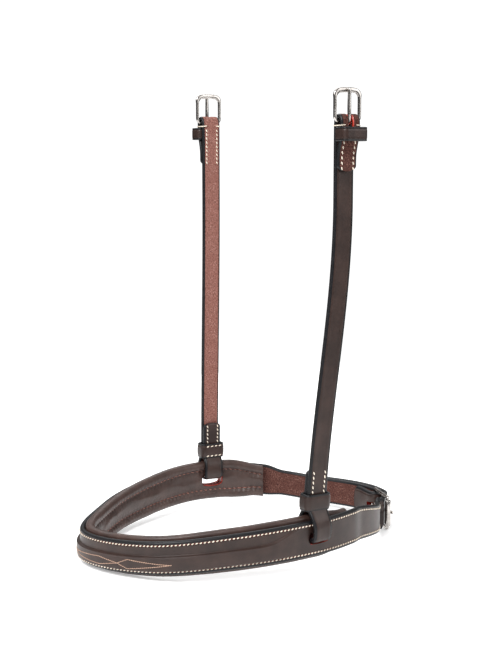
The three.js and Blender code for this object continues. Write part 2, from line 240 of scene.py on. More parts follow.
def satinSteel():
    shader = Shader("satinSteel")
    where = shader.place()
    haze = shader.noise(where, 160, 4)
    drawn = shader.node("ShaderNodeMapping", None, {"Vector": where, "Scale": (1, 1, 9)})
    scratch = shader.noise(drawn, 900, 3)
    tone = shader.blend(haze.smooth(0.3, 0.7), (0.36, 0.335, 0.315), (0.56, 0.53, 0.505))
    return shader.finish(
        Base_Color=tone,
        Metallic=1.0,
        Roughness=0.17 + haze * 0.10 + scratch * 0.06,
        Normal=shader.bump(scratch, 0.00003, 0.5),
    )


def speckled(name, look):
    # a plain material whose tone and surface follow one fine noise
    shader = Shader(name)
    speck = shader.noise(shader.place(), look["scale"], look["detail"], look.get("coarse", 0.5))
    share = speck.smooth(*look["spread"]) if "spread" in look else speck
    return shader.finish(
        Base_Color=shader.blend(share, look["deep"], look["light"]),
        Roughness=speck * look.get("roughnessRange", 0) + look["roughness"],
        Specular_IOR_Level=look.get("specular", 0.5),
        Normal=shader.bump(speck, look["bump"], look["strength"]),
    )


thread = {
    "scale": 2600, "detail": 2, "spread": (0.35, 0.65), "roughness": 0.62,
    "bump": 0.0002, "strength": 0.7,
}
plainLooks = {
    "edgePaint": {"scale": 420, "detail": 3, "deep": (0.004, 0.004, 0.0045),
                  "light": (0.012, 0.012, 0.014), "roughness": 0.30, "roughnessRange": 0.15,
                  "specular": 0.25, "bump": 0.0002, "strength": 0.4},
    "redPaint": {"scale": 600, "detail": 4, "spread": (0.3, 0.7), "deep": (0.30, 0.022, 0.012),
                 "light": (0.52, 0.05, 0.028), "roughness": 0.45, "bump": 0.0002, "strength": 0.4},
    "ecruThread": {**thread, "deep": (0.56, 0.46, 0.34), "light": (0.90, 0.83, 0.72)},
    "tanThread": {**thread, "deep": (0.30, 0.17, 0.115), "light": (0.55, 0.37, 0.27)},
    "rosyThread": {**thread, "deep": (0.16, 0.055, 0.038), "light": (0.34, 0.15, 0.11)},
    # dark red discs between the stitches: painted shade where the thread goes into its holes
    "stitchHoleShade": {"scale": 1500, "detail": 2, "deep": (0.05, 0.008, 0.006), "light": (0.16, 0.035, 0.022),
                   "roughness": 0.8, "bump": 0.0001, "strength": 0.1},
    "fillerFelt": {"scale": 1100, "detail": 6, "coarse": 0.7, "deep": (0.20, 0.18, 0.155),
                   "light": (0.36, 0.33, 0.29), "roughness": 0.95, "bump": 0.0005, "strength": 0.8},
}

grain = grainLeather()
flesh = fleshLeather("fleshLeather", darkFlesh)
litRosyFlesh = fleshLeather("litRosyFlesh", litFleshLook)
softLeather = liningLeather()
steel = satinSteel()
edging, redEdge, ecru, tan, rosy, holes, felt = (speckled(name, look) for name, look in plainLooks.items())
print("materials made")


# ---- the band's line

band = {
    "radii": [125.5, 115.5, 98.5, 92, 92.5, 105, 123, 113, 99.5, 93.5, 90.5, 101.5],  # every 30 degrees
    "crestAt": 186.8,
    "noseLift": 13.7,
    "slotLift": 24.1,
    "jawLift": 14.0,
    "nearFall": (215, 305),
    "farFall": (186.8, 296),
    "leather": 4.0,
    "strapOut": 2.5,
    "noseHeight": 23.0,
    "slotHeight": 26.0,
    "plainHeight": 21.4,
    "liningNear": 218,
    "liningFar": 230,
}
rollerAt = np.array([111, -36.5])
barAt = np.array([118, -8.5])


def unit(vectors):
    return vectors / np.linalg.norm(vectors, axis=-1, keepdims=True)


def wave(start, end, x):
    return (1 - np.cos(np.pi * np.clip((x - start) / (end - start), 0, 1))) / 2


def mix(a, b, share):
    return a + (b - a) * share


def bell(x, width):
    return np.exp(-(x / width) ** 2)


def lengthsOf(line):
    return np.r_[0, np.cumsum(np.linalg.norm(np.diff(line, axis=0), axis=1))]


def bandOutline():
    turns = -np.pi + np.arange(12) * np.pi / 6
    corners = np.array(band["radii"])[:, None] * np.stack([np.cos(turns), np.sin(turns)], 1)
    t = np.linspace(0, 1, 160, endpoint=False)[:, None]
    line = []
    for i in range(12):
        before, start, end, after = (corners[(i + k) % 12] for k in (-1, 0, 1, 2))
        leave, arrive = (end - before) / 2, (after - start) / 2
        line.append(start + leave * t + (3 * (end - start) - 2 * leave - arrive) * t ** 2
                    + (2 * (start - end) + leave + arrive) * t ** 3)
    return np.vstack([*line, corners[:1]])


outline = bandOutline()
outlineS = lengthsOf(outline)
girth = outlineS[-1]
slotPlaces = (183.2, girth - 184.6)
slotBows = (0.6, 1.5)
outlineWay = unit(np.roll(outline[:-1], -1, axis=0) - np.roll(outline[:-1], 1, axis=0))
outlineWay = np.vstack([outlineWay, outlineWay[:1]])
rollerBox = [np.array(corner) * 1000 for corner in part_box("rear_roller")]
shift = ((rollerBox[0] + rollerBox[1]) / 2)[:2] - rollerAt


def bandWay(s):
    at = np.mod(s, girth)
    return unit(np.stack([np.interp(at, outlineS, outlineWay[:, k]) for k in (0, 1)], -1))


def bandOut(s):
    along = bandWay(s)
    return np.stack([along[..., 1], -along[..., 0], np.zeros(np.shape(s))], -1)


def bandPlace(s, n=0.0):
    at = np.mod(s, girth)
    point = np.stack([np.interp(at, outlineS, outline[:, k]) for k in (0, 1)], -1)
    return point + shift + np.asarray(n)[..., None] * bandOut(s)[..., :2]


def fromNose(s):
    around = np.mod(s, girth)
    return np.minimum(around, girth - around)


def onFarSide(s):
    return np.mod(s, girth) > girth / 2


def lift(s):
    a = fromNose(s)
    front = mix(band["noseLift"], band["slotLift"], wave(0, band["crestAt"], a))
    fall = np.where(onFarSide(s), wave(*band["farFall"], a), wave(*band["nearFall"], a))
    return np.where(a < band["crestAt"], front, mix(band["slotLift"], band["jawLift"], fall))


def liningEnd(s):
    return np.where(onFarSide(s), band["liningFar"], band["liningNear"])


def padded(s):
    return 1 - wave(liningEnd(s) + 2, liningEnd(s) + 18, fromNose(s))


def strapHeight(s):
    a = fromNose(s)
    broad = mix(band["noseHeight"], band["slotHeight"], wave(0, band["crestAt"], a))
    narrowing = np.where(onFarSide(s), 18, 72)
    return mix(broad, band["plainHeight"], wave(liningEnd(s) + 2, liningEnd(s) + narrowing, a))


# The nose stands up over its filler: a low step below the upper stitches, rising to meet them
# before the slot, and down to the lower stitches.
nose = {"height": 2.1, "upper": 1.7, "lower": -9.0, "shoulder": 1.1, "climb": (140, 170), "fade": (132, 182)}


def noseUpper(s):
    meet = strapHeight(s) / 2 - 3.4
    return mix(nose["upper"], meet, wave(*nose["climb"], fromNose(s)))


def noseSwell(s, z):
    height = nose["height"] * (1 - wave(*nose["fade"], fromNose(s)))
    top = noseUpper(s)
    rise = wave(top + nose["shoulder"] / 2, top - nose["shoulder"] / 2, z)
    fall = wave(nose["lower"] - 0.9, nose["lower"] + 0.9, z)
    dome = 1 + 0.16 * (1 - ((z - (top + nose["lower"]) / 2) / 6) ** 2)
    return height * rise * fall * dome


# ---- meshes

def skin(name, grid, materials, zones=None, closed=False, capZone=None, gaps=None):
    # grid holds rings of points in millimetres; zones says which material each side of a ring has
    rings, count = grid.shape[:2]
    zones = np.zeros(count, int) if zones is None else np.asarray(zones)
    i = np.arange(rings if closed else rings - 1)[:, None]
    j = np.arange(count)[None, :]
    k, m = (i + 1) % rings, (j + 1) % count
    quads = np.stack([i * count + j, i * count + m, k * count + m, k * count + j], -1).reshape(-1, 4)
    faces = quads.tolist()
    painted = np.broadcast_to(zones[None, :], (len(i), count)).reshape(-1).tolist()
    if not closed:
        faces += [list(range(count))[::-1]]
        faces += [list(range((rings - 1) * count, rings * count))]
        painted += [capZone if capZone is not None else int(zones[0])] * 2
    along = lengthsOf(grid.mean(axis=1))
    middleRing = grid[rings // 2]
    about = lengthsOf(np.vstack([middleRing, middleRing[:1]]))
    gaps = np.full((rings, count), 9.0) if gaps is None else np.broadcast_to(gaps, (rings, count))
    mesh = bpy.data.meshes.new(name)
    mesh.from_pydata((grid.reshape(-1, 3) / 1000).tolist(), [], faces)
    for material in materials:
        mesh.materials.append(material)
    mesh.polygons.foreach_set("material_index", painted)
    mesh.polygons.foreach_set("use_smooth", [True] * len(faces))
    corner = np.zeros(len(mesh.loops), int)
    mesh.loops.foreach_get("vertex_index", corner)
    maps = {
        "leather": (along[corner // count], about[corner % count]),
        "gaps": (gaps.ravel()[corner], corner * 0.0),
    }
    for label, columns in maps.items():
        mesh.uv_layers.new(name=label).data.foreach_set("uv", np.stack(columns, 1).ravel() / 10)
    outwards(mesh)
    piece = bpy.data.objects.new(name, mesh)
    bpy.context.scene.collection.objects.link(piece)
    return piece


def outwards(mesh):
    work = bmesh.new()
    work.from_mesh(mesh)
    bmesh.ops.recalc_face_normals(work, faces=work.faces)
    work.to_mesh(mesh)
    work.free()


def settle(piece):
    # the modifiers' result becomes the mesh
    graph = bpy.context.evaluated_depsgraph_get()
    made = bpy.data.meshes.new_from_object(piece.evaluated_get(graph))
    piece.modifiers.clear()
    piece.data = made
    piece.data.name = piece.name
    return piece


def cutAway(piece, cutters):
    for cutter in cutters:
        boolean = piece.modifiers.new("cut", "BOOLEAN")
        boolean.operation = "DIFFERENCE"
        boolean.solver = "EXACT"
        boolean.object = cutter
    settle(piece)
    for cutter in cutters:
        bpy.data.objects.remove(cutter)
    return piece


def finishPiece(piece, body, slotName, *nodes):
    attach(piece, body)
    if nodes:
        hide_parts(*nodes)
    return piece


def resample(line, at, passes=0):
    lengths = lengthsOf(line[:, :3])
    made = np.stack([np.interp(at, lengths, line[:, k]) for k in range(line.shape[1])], 1)
    for _ in range(passes):
        made[1:-1] = (made[:-2] + 2 * made[1:-1] + made[2:]) / 4
    return made


def wayOf(line):
    ahead = np.vstack([line[1:], line[-1:]])
    behind = np.vstack([line[:1], line[:-1]])
    return unit(ahead - behind)


def stopsAlong(total, step, fine=(0.0, 0.25, 0.6, 1.1, 1.8, 2.6)):
    # places along a strap, closer together at its two ends
    inner = np.linspace(3.5, total - 3.5, max(2, int(total / step)))
    return np.r_[fine, inner, total - np.array(fine)[::-1]]


def strapRing(half, thick, front=30, back=12, side=7):
    # the rounded outline of a strap's end: (across, through, zone) from the bottom of its front
    half = np.asarray(half, float)[:, None]
    deep = np.asarray(thick, float)[:, None] / 2
    soft = np.minimum(deep, half * 0.95)
    turn = np.linspace(np.pi / 2, -np.pi / 2, side + 2)[1:-1][None, :]
    flat = half - soft
    across = np.hstack([
        np.linspace(-1, 1, front)[None, :] * flat, flat + soft * np.cos(turn),
        np.linspace(1, -1, back)[None, :] * flat, -(flat + soft * np.cos(turn)),
    ])
    through = np.hstack([
        np.ones((1, front)) * deep, deep * np.sin(turn),
        -np.ones((1, back)) * deep, -deep * np.sin(turn),
    ])
    zones = [0] * (front - 1) + [1] * (side + 1) + [2] * (back - 1) + [1] * (side + 1)
    return across, through, zones


def roundedEnd(distance, reach, power=2.0):
    # share of the full width at a distance from a strap's end
    share = np.clip(distance / reach, 0, 1)
    return np.maximum((1 - (1 - share) ** power) ** (1 / power), 0.06)


# ---- stitches: a row of slanted threads along a guide, each between two dark discs that paint the shade in the stitch holes

holeSink = 0.00022  # metres below the leather's face


def stitchTree(name, thread):
    tree = bpy.data.node_groups.new(name, "GeometryNodeTree")
    tree.interface.new_socket("Guide", in_out="INPUT", socket_type="NodeSocketGeometry")
    for label in ("Pitch", "Length", "Width", "Height", "Slant", "Unevenness", "Hole"):
        tree.interface.new_socket(label, in_out="INPUT", socket_type="NodeSocketFloat")
    tree.interface.new_socket("Stitches", in_out="OUTPUT", socket_type="NodeSocketGeometry")

    def node(kind, settings=None, inputs=None):
        made = tree.nodes.new(kind)
        for key, value in (settings or {}).items():
            setattr(made, key, value)
        for key, value in (inputs or {}).items():
            if isinstance(value, bpy.types.NodeSocket):
                tree.links.new(value, made.inputs[key])
            else:
                made.inputs[key].default_value = value
        return made

    def maths(operation, a, b):
        return node("ShaderNodeMath", {"operation": operation}, {0: a, 1: b}).outputs[0]

    def placed(points, shape, turned, material):
        inputs = {"Points": points, "Instance": shape, "Rotation": turned}
        copies = node("GeometryNodeInstanceOnPoints", None, inputs)
        real = node("GeometryNodeRealizeInstances", None, {0: copies.outputs[0]})
        smooth = node("GeometryNodeSetShadeSmooth", None, {0: real.outputs[0]})
        inputs = {"Geometry": smooth.outputs[0], "Material": material}
        return node("GeometryNodeSetMaterial", None, inputs).outputs[0]

    def scaled(vector, by):
        return node("ShaderNodeVectorMath", {"operation": "SCALE"}, {0: vector, "Scale": by}).outputs[0]

    given = node("NodeGroupInput").outputs
    curve = node("GeometryNodeMeshToCurve", None, {0: given["Guide"]}).outputs[0]
    spaced = {"Curve": curve, "Length": given["Pitch"]}
    row = node("GeometryNodeResampleCurve", {"mode": "LENGTH"}, spaced).outputs[0]
    tangent = node("GeometryNodeInputTangent").outputs[0]
    vector = {"data_type": "FLOAT_VECTOR"}
    outward = node("GeometryNodeInputNamedAttribute", vector, {"Name": "outward"}).outputs[0]
    lengthwise = node("FunctionNodeAlignRotationToVector", {"axis": "X"}, {"Vector": tangent}).outputs[0]
    upright = node("FunctionNodeAlignRotationToVector", {"axis": "Z", "pivot_axis": "X"},
                   {"Rotation": lengthwise, "Vector": outward}).outputs[0]
    random = node("FunctionNodeRandomValue", {"data_type": "FLOAT"}, {"Min": -1.0, "Max": 1.0, "Seed": 7})
    jitter = maths("MULTIPLY", [o for o in random.outputs if o.enabled][0], given["Unevenness"])
    angle = maths("ADD", given["Slant"], jitter)
    slant = node("FunctionNodeAxisAngleToRotation", None, {"Axis": (0, 0, 1), "Angle": angle}).outputs[0]
    turned = node("FunctionNodeRotateRotation", {"rotation_space": "LOCAL"},
                  {"Rotation": upright, "Rotate By": slant}).outputs[0]

    bead = node("GeometryNodeMeshUVSphere", None, {"Segments": 8, "Rings": 5, "Radius": 0.5}).outputs[0]
    lengths = {"X": given["Length"], "Y": given["Width"], "Z": given["Height"]}
    size = node("ShaderNodeCombineXYZ", None, lengths)
    oneStitch = node("GeometryNodeTransform", None, {"Geometry": bead, "Scale": size.outputs[0]}).outputs[0]
    stitches = placed(row, oneStitch, turned, thread)

    # dark discs half a pitch along, just under the face: painted shade for the stitch holes
    dimple = scaled((1.0, 0.8, 0.3), given["Hole"])
    oneHole = node("GeometryNodeTransform", None, {"Geometry": bead, "Scale": dimple}).outputs[0]
    ahead = scaled(tangent, maths("MULTIPLY", given["Pitch"], 0.5))
    offset = node("ShaderNodeVectorMath", {"operation": "ADD"}, {0: ahead, 1: scaled(outward, -holeSink)})
    between = node("GeometryNodeSetPosition", None, {"Geometry": row, "Offset": offset.outputs[0]}).outputs[0]

    joined = node("GeometryNodeJoinGeometry")
    tree.links.new(placed(between, oneHole, upright, holes), joined.inputs[0])
    tree.links.new(stitches, joined.inputs[0])
    result = node("NodeGroupOutput")
    tree.links.new(joined.outputs[0], result.inputs[0])
    return tree


def stitchRows(name, rows, thread, sizes):
    # rows holds (points, outward directions) in millimetres
    points, edges, outward = [], [], []
    for line, way in rows:
        first = len(points)
        points += (line / 1000).tolist()
        outward += np.broadcast_to(way, line.shape).tolist()
        edges += [(first + i, first + i + 1) for i in range(len(line) - 1)]
    guide = bpy.data.meshes.new(name)
    guide.from_pydata(points, edges, [])
    attribute = guide.attributes.new("outward", "FLOAT_VECTOR", "POINT")
    attribute.data.foreach_set("vector", np.array(outward).ravel())
    piece = bpy.data.objects.new(name, guide)
    bpy.context.scene.collection.objects.link(piece)
    tree = stitchTree(name + "Tree", thread)
    modifier = piece.modifiers.new("stitches", "NODES")
    modifier.node_group = tree
    for item in tree.interface.items_tree:
        if item.name in sizes:
            modifier[item.identifier] = sizes[item.name]
    return settle(piece)


# ---- the outer strap

buckleReach = float(np.linalg.norm(barAt - rollerAt))
chordWay = (barAt - rollerAt) / buckleReach
foldRadius = 4.1
underRoller = 4.6
overFold = 8.4


def chord(e, m):
    # e from the roller towards the bar, m outwards
    e, m = np.asarray(e, float)[..., None], np.asarray(m, float)[..., None]
    return rollerAt + shift + e * chordWay + m * np.array([chordWay[1], -chordWay[0]])


def onArc(e, m, radius, start, end, count):
    turn = np.linspace(start, end, count)
    return chord(e + radius * np.cos(turn), m + radius * np.sin(turn))


outerStrap = {
    "flapEnd": 353,
    "billetTip": 406,
    "holesAt": (365, 385),
    "step": 1.3,
    "creaseIn": 1.75,
    "rowIn": 2.9,
    "front": 64,   # points over the front of a section
    "side": 8,
    "back": 18,
}


def entryDip(s):
    # how far the strap goes in to pass under the roller
    return -3.6 * wave(girth + 262, girth + 300, s)


def strapLine():
    # rows of (x, y, middle height, place along the band)
    jaw = girth / 2

    def level(points, s=None):
        place = np.full(len(points), jaw) if s is None else s
        return np.column_stack([points, lift(place), place])

    flap = np.arange(outerStrap["flapEnd"], 332.9, -1.0)
    flapOut = 2 * wave(333, outerStrap["flapEnd"], flap) - 2 * foldRadius
    slant = math.asin((underRoller + overFold) / buckleReach)
    around = np.arange(338, girth + 262, 1.0)
    entry = np.arange(girth + 263, girth + 297, 1.0)
    tail = np.arange(341, outerStrap["billetTip"] + 0.1, 1.0)
    return np.vstack([
        level(bandPlace(flap, flapOut)),
        level(onArc(buckleReach, 0, foldRadius, -np.pi / 2, -np.pi * 1.5, 14)),
        level(bandPlace(around, band["strapOut"] * padded(around)), around),
        level(bandPlace(entry, entryDip(entry)), entry),
        level(onArc(0, 0, underRoller, -np.pi / 2, -np.pi / 2 + slant, 5)),
        level(onArc(buckleReach, 0, overFold, np.pi / 2 + slant, np.pi / 2, 6)),
        level(bandPlace(tail, np.full(len(tail), band["leather"] + 0.3))),
    ])


def slotCutter(name, s, bow):
    # a rounded oblong through the band, its lower edge pulled down a little in the middle
    x = np.r_[np.linspace(-9, 9, 19)]
    corner = 1.6 * (1 - np.sqrt(1 - np.clip((np.abs(x) - 7.4) / 1.6, 0, 1) ** 2))
    low = -3.5 + corner - bow * (1 - (x / 9) ** 2)
    high = 4.5 - corner
    ring = np.vstack([np.column_stack([x, low]), np.column_stack([x[::-1], high[::-1]])])
    along = np.r_[bandWay(s), 0]
    origin = np.r_[bandPlace(s), lift(s)]
    grid = np.array([origin + ring[:, :1] * along + ring[:, 1:] * up + n * bandOut(s) for n in (-16, 16)])
    return skin(name, grid, [redEdge])


def slotCutters():
    return [slotCutter("slot", s, bow) for s, bow in zip(slotPlaces, slotBows)]


def roundCutter(name, centre, way, radius, length, material, squash=1.0):
    # a round drill, or an oval one where squash isn't 1
    way = unit(np.asarray(way, float))
    side = unit(np.cross(way, up)) if abs(way[2]) < 0.9 else np.array([1.0, 0, 0])
    other = np.cross(way, side)
    turn = np.linspace(0, 2 * np.pi, 24, endpoint=False)[:, None]
    ring = radius * (np.cos(turn) * side * squash + np.sin(turn) * other)
    grid = np.array([centre + ring + way * t for t in (-length / 2, length / 2)])
    return skin(name, grid, [material])


def makeOuterStrap():
    rough = strapLine()
    total = lengthsOf(rough[:, :3])[-1]
    at = stopsAlong(total, outerStrap["step"])
    line = resample(rough, at, passes=6)
    place = line[:, 3]
    way = wayOf(line[:, :2])
    outward = np.column_stack([way[:, 1], -way[:, 0], np.zeros(len(way))])
    tip = roundedEnd(total - at, 13, 1.7) * roundedEnd(at, 5, 3.5)
    half = strapHeight(place) / 2 * tip
    counts = {name: outerStrap[name] for name in ("front", "back", "side")}
    across, through, zones = strapRing(half, np.full(len(at), band["leather"]), **counts)
    gap = half[:, None] - np.abs(across)
    banded = (place != girth / 2)[:, None]
    s = place[:, None] * np.ones_like(across)
    front = slice(0, counts["front"])
    backStart = counts["front"] + counts["side"]
    back = slice(backStart, backStart + counts["back"])
    # creased lines and the stitches' channel, then the nose's swell on both faces
    groove = 0.34 * bell(gap - outerStrap["creaseIn"], 0.32) + 0.3 * bell(gap - outerStrap["rowIn"], 0.55)
    through[:, front] -= groove[:, front]
    swell = np.where(banded, noseSwell(s, across), 0)
    # a creased ridge runs along the top of the swell
    ridge = 0.32 * bell(across - noseUpper(s) + 0.35, 0.42) * (1 - wave(158, 184, fromNose(s)))
    through[:, front] += (swell + np.where(banded, ridge, 0))[:, front]
    through[:, back] += swell[:, back]
    # the leather is pushed up round each slot
    for slotS in slotPlaces:
        away = np.hypot(np.maximum(np.abs(s - slotS) - 8, 0), np.maximum(np.abs(across - 0.5) - 3.2, 0))
        lip = 0.75 * bell(away - 1.6, 1.5) * np.where(np.abs(s - slotS) < 16, 1, 0)
        through[:, front] += lip[:, front]
    grid = line[:, None, :3] + across[..., None] * up + through[..., None] * outward[:, None, :]
    piece = skin("outerStrap", grid, [grain, edging, flesh, redEdge], zones, capZone=1, gaps=gap)
    tongueWay = chord(0, 3.4) - chord(buckleReach, 2.8)
    tongueMid = (chord(2, 3.4) + chord(buckleReach - 9, 3.1)) / 2
    cutters = [
        *slotCutters(),
        roundCutter("tongueRoom", np.r_[tongueMid, band["jawLift"]], np.r_[tongueWay, 0], 2.1, 22, edging),
        roundCutter("eyeRoom", np.r_[chord(buckleReach - 3, 0), band["jawLift"]],
                    np.r_[chordWay[1], -chordWay[0], 0], 2.4, 12.6, redEdge, squash=2.6),
    ]
    for holeS in outerStrap["holesAt"]:
        centre = np.r_[bandPlace(holeS, band["leather"] + 0.3), band["jawLift"]]
        cutters.append(roundCutter("billetHole", centre, bandOut(holeS), 2.0, 7, edging))
    return cutAway(piece, cutters)


finishPiece(makeOuterStrap(), "noseband", "bridle_leather", "outer_strap")
print("outer strap made")


# ---- the padded lining

lining = {
    "noseHeight": 27.4,
    "slotHeight": 32.0,
    "roll": 3.6,
    "face": 0.2,
    "seamDown": 7.6,       # from the edge to the row of stitches beside each roll
    "seamDeep": -3.9,
    "puff": -5.9,
    "step": 2.0,
    "swellCap": 0.5,
    "frames": 14,
    "facePoints": 7,
    "rollPoints": 15,
    "middlePoints": 14,
}


def liningHalf(s):
    full = mix(lining["noseHeight"], lining["slotHeight"], wave(0, band["crestAt"], fromNose(s)))
    end = liningEnd(s)
    return mix(full, band["plainHeight"] + 5, wave(end - 30, end, fromNose(s))) / 2


def liningRing(half):
    # up the outer face, round the upper roll, down the padded middle, round the lower roll
    centre = lining["face"] - lining["roll"]
    turn = np.linspace(0, np.pi * 1.28, lining["rollPoints"])
    top = half - lining["roll"]
    rollN = centre + lining["roll"] * np.cos(turn)
    rollZ = lining["roll"] * np.sin(turn)
    t = np.linspace(0, 1, lining["middlePoints"])
    seam = half - lining["seamDown"]
    bulge = np.sin(np.pi * t) ** 0.6
    innerN = mix(lining["seamDeep"], lining["puff"], bulge)
    face = np.linspace(-1, 1, lining["facePoints"] + 2)[1:-1]
    n = np.r_[np.full(len(face), lining["face"]), rollN, innerN, rollN[::-1]]
    z = np.r_[face * top, top + rollZ, mix(seam, -seam, t), -(top + rollZ[::-1])]
    return n, z


def liningGrid(step):
    total = band["liningFar"] + band["liningNear"]
    s = np.linspace(-band["liningFar"], band["liningNear"], int(total / step))
    rings = [liningRing(half) for half in liningHalf(s)]
    n = np.array([ring[0] for ring in rings])
    z = np.array([ring[1] for ring in rings])
    return s, n, z


def liningPoints(s, n, z):
    origin = np.column_stack([bandPlace(s), lift(s)])
    return origin[:, None, :] + n[..., None] * bandOut(s)[:, None, :] + z[..., None] * up


def inflate(grid, held):
    # blows the lining up between its held seams, and gives back how far each point moved
    piece = skin("liningCloth", grid, [softLeather])
    piece.vertex_groups.new(name="held").add(np.nonzero(held.ravel())[0].tolist(), 1.0, "REPLACE")
    cloth = piece.modifiers.new("cloth", "CLOTH")
    settings = cloth.settings
    settings.quality = 5
    settings.mass = 0.25
    settings.tension_stiffness = 40
    settings.compression_stiffness = 40
    settings.shear_stiffness = 20
    settings.bending_stiffness = 4
    settings.use_pressure = True
    settings.uniform_pressure_force = 4
    settings.shrink_min = -0.01
    settings.effector_weights.gravity = 0
    settings.vertex_group_mass = "held"
    cloth.point_cache.frame_start = 1
    cloth.point_cache.frame_end = lining["frames"]
    for number in range(1, lining["frames"] + 1):
        bpy.context.scene.frame_set(number)
    blown = piece.evaluated_get(bpy.context.evaluated_depsgraph_get())
    found = np.zeros(grid.size)
    blown.to_mesh().vertices.foreach_get("co", found)
    blown.to_mesh_clear()
    moved = found.reshape(grid.shape) * 1000 - grid
    bpy.data.objects.remove(piece)
    bpy.context.scene.frame_set(1)
    size = np.linalg.norm(moved, axis=-1, keepdims=True)
    moved = moved * np.minimum(1, lining["swellCap"] / np.maximum(size, 1e-6))
    for _ in range(3):
        moved[1:-1] = (moved[:-2] + 2 * moved[1:-1] + moved[2:]) / 4
    return moved


def makeLining():
    s, n, z = liningGrid(lining["step"])
    grid = liningPoints(s, n, z)
    upperSeam = lining["facePoints"] + lining["rollPoints"]
    lowerSeam = upperSeam + lining["middlePoints"]
    held = np.zeros(n.shape, bool)
    held[:, :lining["facePoints"] + 2] = True
    for seam in (upperSeam, lowerSeam):
        held[:, seam - 2:seam + 1] = True
    held[:, -2:] = True
    held[[0, -1]] = True
    moved = inflate(grid, held)
    fineS, fineN, fineZ = liningGrid(0.8)
    share = np.interp(fineS, s, np.arange(len(s)))
    low = np.minimum(share.astype(int), len(s) - 2)
    part = (share - low)[:, None, None]
    half = liningHalf(fineS)[:, None]
    toSeam = np.abs(np.abs(fineZ) - (half - lining["seamDown"]))
    inner = (fineN < lining["face"] - lining["roll"]) * 1.0
    # every stitch draws the leather in, so small folds run out from the seam
    pull = np.cos(2 * np.pi * fineS / 4.2)[:, None]
    slow = np.sin(fineS / 17)[:, None] + np.sin(fineS / 7.3 + 1)[:, None]
    folds = 0.26 * pull * bell(toSeam - 0.9, 1.9) + 0.12 * slow * bell(toSeam - 3, 3)
    fineN = fineN - inner * folds
    made = liningPoints(fineS, fineN, fineZ) + moved[low] * (1 - part) + moved[low + 1] * part
    piece = skin("paddedLining", made, [softLeather, redEdge])
    return cutAway(piece, slotCutters())


liningPiece = makeLining()
finishPiece(liningPiece, "noseband", "soft_leather", "lining_pad")
print("lining made")


def makeFiller():
    s = np.arange(-nose["fade"][0], nose["fade"][0] + 0.1, 3.0)
    z = np.linspace(nose["lower"] + 1.4, nose["upper"] - 1.4, 12) * np.ones((len(s), 1))
    rest = band["strapOut"] - band["leather"] / 2
    high = np.maximum(noseSwell(s[:, None], z) - 0.35, 0.25)
    n = rest + np.hstack([high, high * 0])
    return skin("noseFiller", liningPoints(s, n, np.hstack([z, z[:, ::-1]])), [felt])


finishPiece(makeFiller(), "noseband", "filler_felt", "nose_filler")


# ---- the band's stitches

bandRow = {"Pitch": 0.00285, "Length": 0.00195, "Width": 0.00095, "Height": 0.0008, "Slant": 0.42,
           "Unevenness": 0.10, "Hole": 0.0013}
ornamentRow = {"Pitch": 0.0016, "Length": 0.0017, "Width": 0.00058, "Height": 0.0005, "Slant": 0.16,
               "Unevenness": 0.12, "Hole": 0.0006}
seamRow = {"Pitch": 0.0042, "Length": 0.0031, "Width": 0.0009, "Height": 0.0007, "Slant": -0.35,
           "Unevenness": 0.2, "Hole": 0.0015}


def onBand(s, n, z):
    return np.column_stack([bandPlace(s, n), lift(s) + z]), bandOut(s)


def edgeRow(sign):
    s = np.arange(outerStrap["billetTip"] + 5 - girth, 258, 1.5)
    z = sign * (strapHeight(s) / 2 - outerStrap["rowIn"])
    n = band["strapOut"] * padded(s) + band["leather"] / 2 + np.maximum(noseSwell(s, z), 0)
    return onBand(s, n + 0.02, z)


def entryRow(sign):
    # from the padded part to the roller, where the strap goes under it
    s = np.arange(girth + 259, girth + 292, 1.5)
    n = entryDip(s) + band["leather"] / 2
    return onBand(s, n + 0.02, sign * (strapHeight(s) / 2 - outerStrap["rowIn"]))


edgeStitches = stitchRows("edgeStitches", [edgeRow(1), edgeRow(-1), entryRow(1), entryRow(-1)], ecru, bandRow)
finishPiece(edgeStitches, "noseband", "thread", "top_edge_thread", "bottom_edge_thread")

# two threads cross and part again: a lens over the nose and a long diamond on each side
ornament = {"middle": -3.9, "half": 3.3,
            "corners": [(-78, 0), (-48, 1), (-40, 0), (-24, -0.85), (-7, 0.1), (7, 0.5), (24, 0.85), (40, 0),
                        (48, -1), (78, 0)]}


def crossingRow(sign):
    s = np.arange(-78, 78.1, 1.0)
    corners = np.array(ornament["corners"])
    z = np.interp(s, corners[:, 0], corners[:, 1])
    bend = np.abs(s) < 40
    for _ in range(4):
        softer = z.copy()
        softer[1:-1] = (z[:-2] + 2 * z[1:-1] + z[2:]) / 4
        z = np.where(bend, softer, z)
    z = ornament["middle"] + sign * ornament["half"] * z
    n = band["strapOut"] + band["leather"] / 2 + noseSwell(s, z)
    return onBand(s, n + 0.05, z)


ornamentStitches = stitchRows("ornamentStitches", [crossingRow(1), crossingRow(-1)], tan, ornamentRow)
finishPiece(ornamentStitches, "noseband", "thread", "ornament_thread")


def liningRow(sign):
    s = np.arange(3 - band["liningFar"], band["liningNear"] - 3, 1.5)
    z = sign * (liningHalf(s) - lining["seamDown"])
    points, outward = onBand(s, np.full(len(s), lining["seamDeep"] - 0.25), z)
    return points, -outward


liningStitches = stitchRows("liningStitches", [liningRow(1), liningRow(-1)], rosy, seamRow)
finishPiece(liningStitches, "noseband", "thread")
print("band stitches made")


# ---- rods, rings and keepers

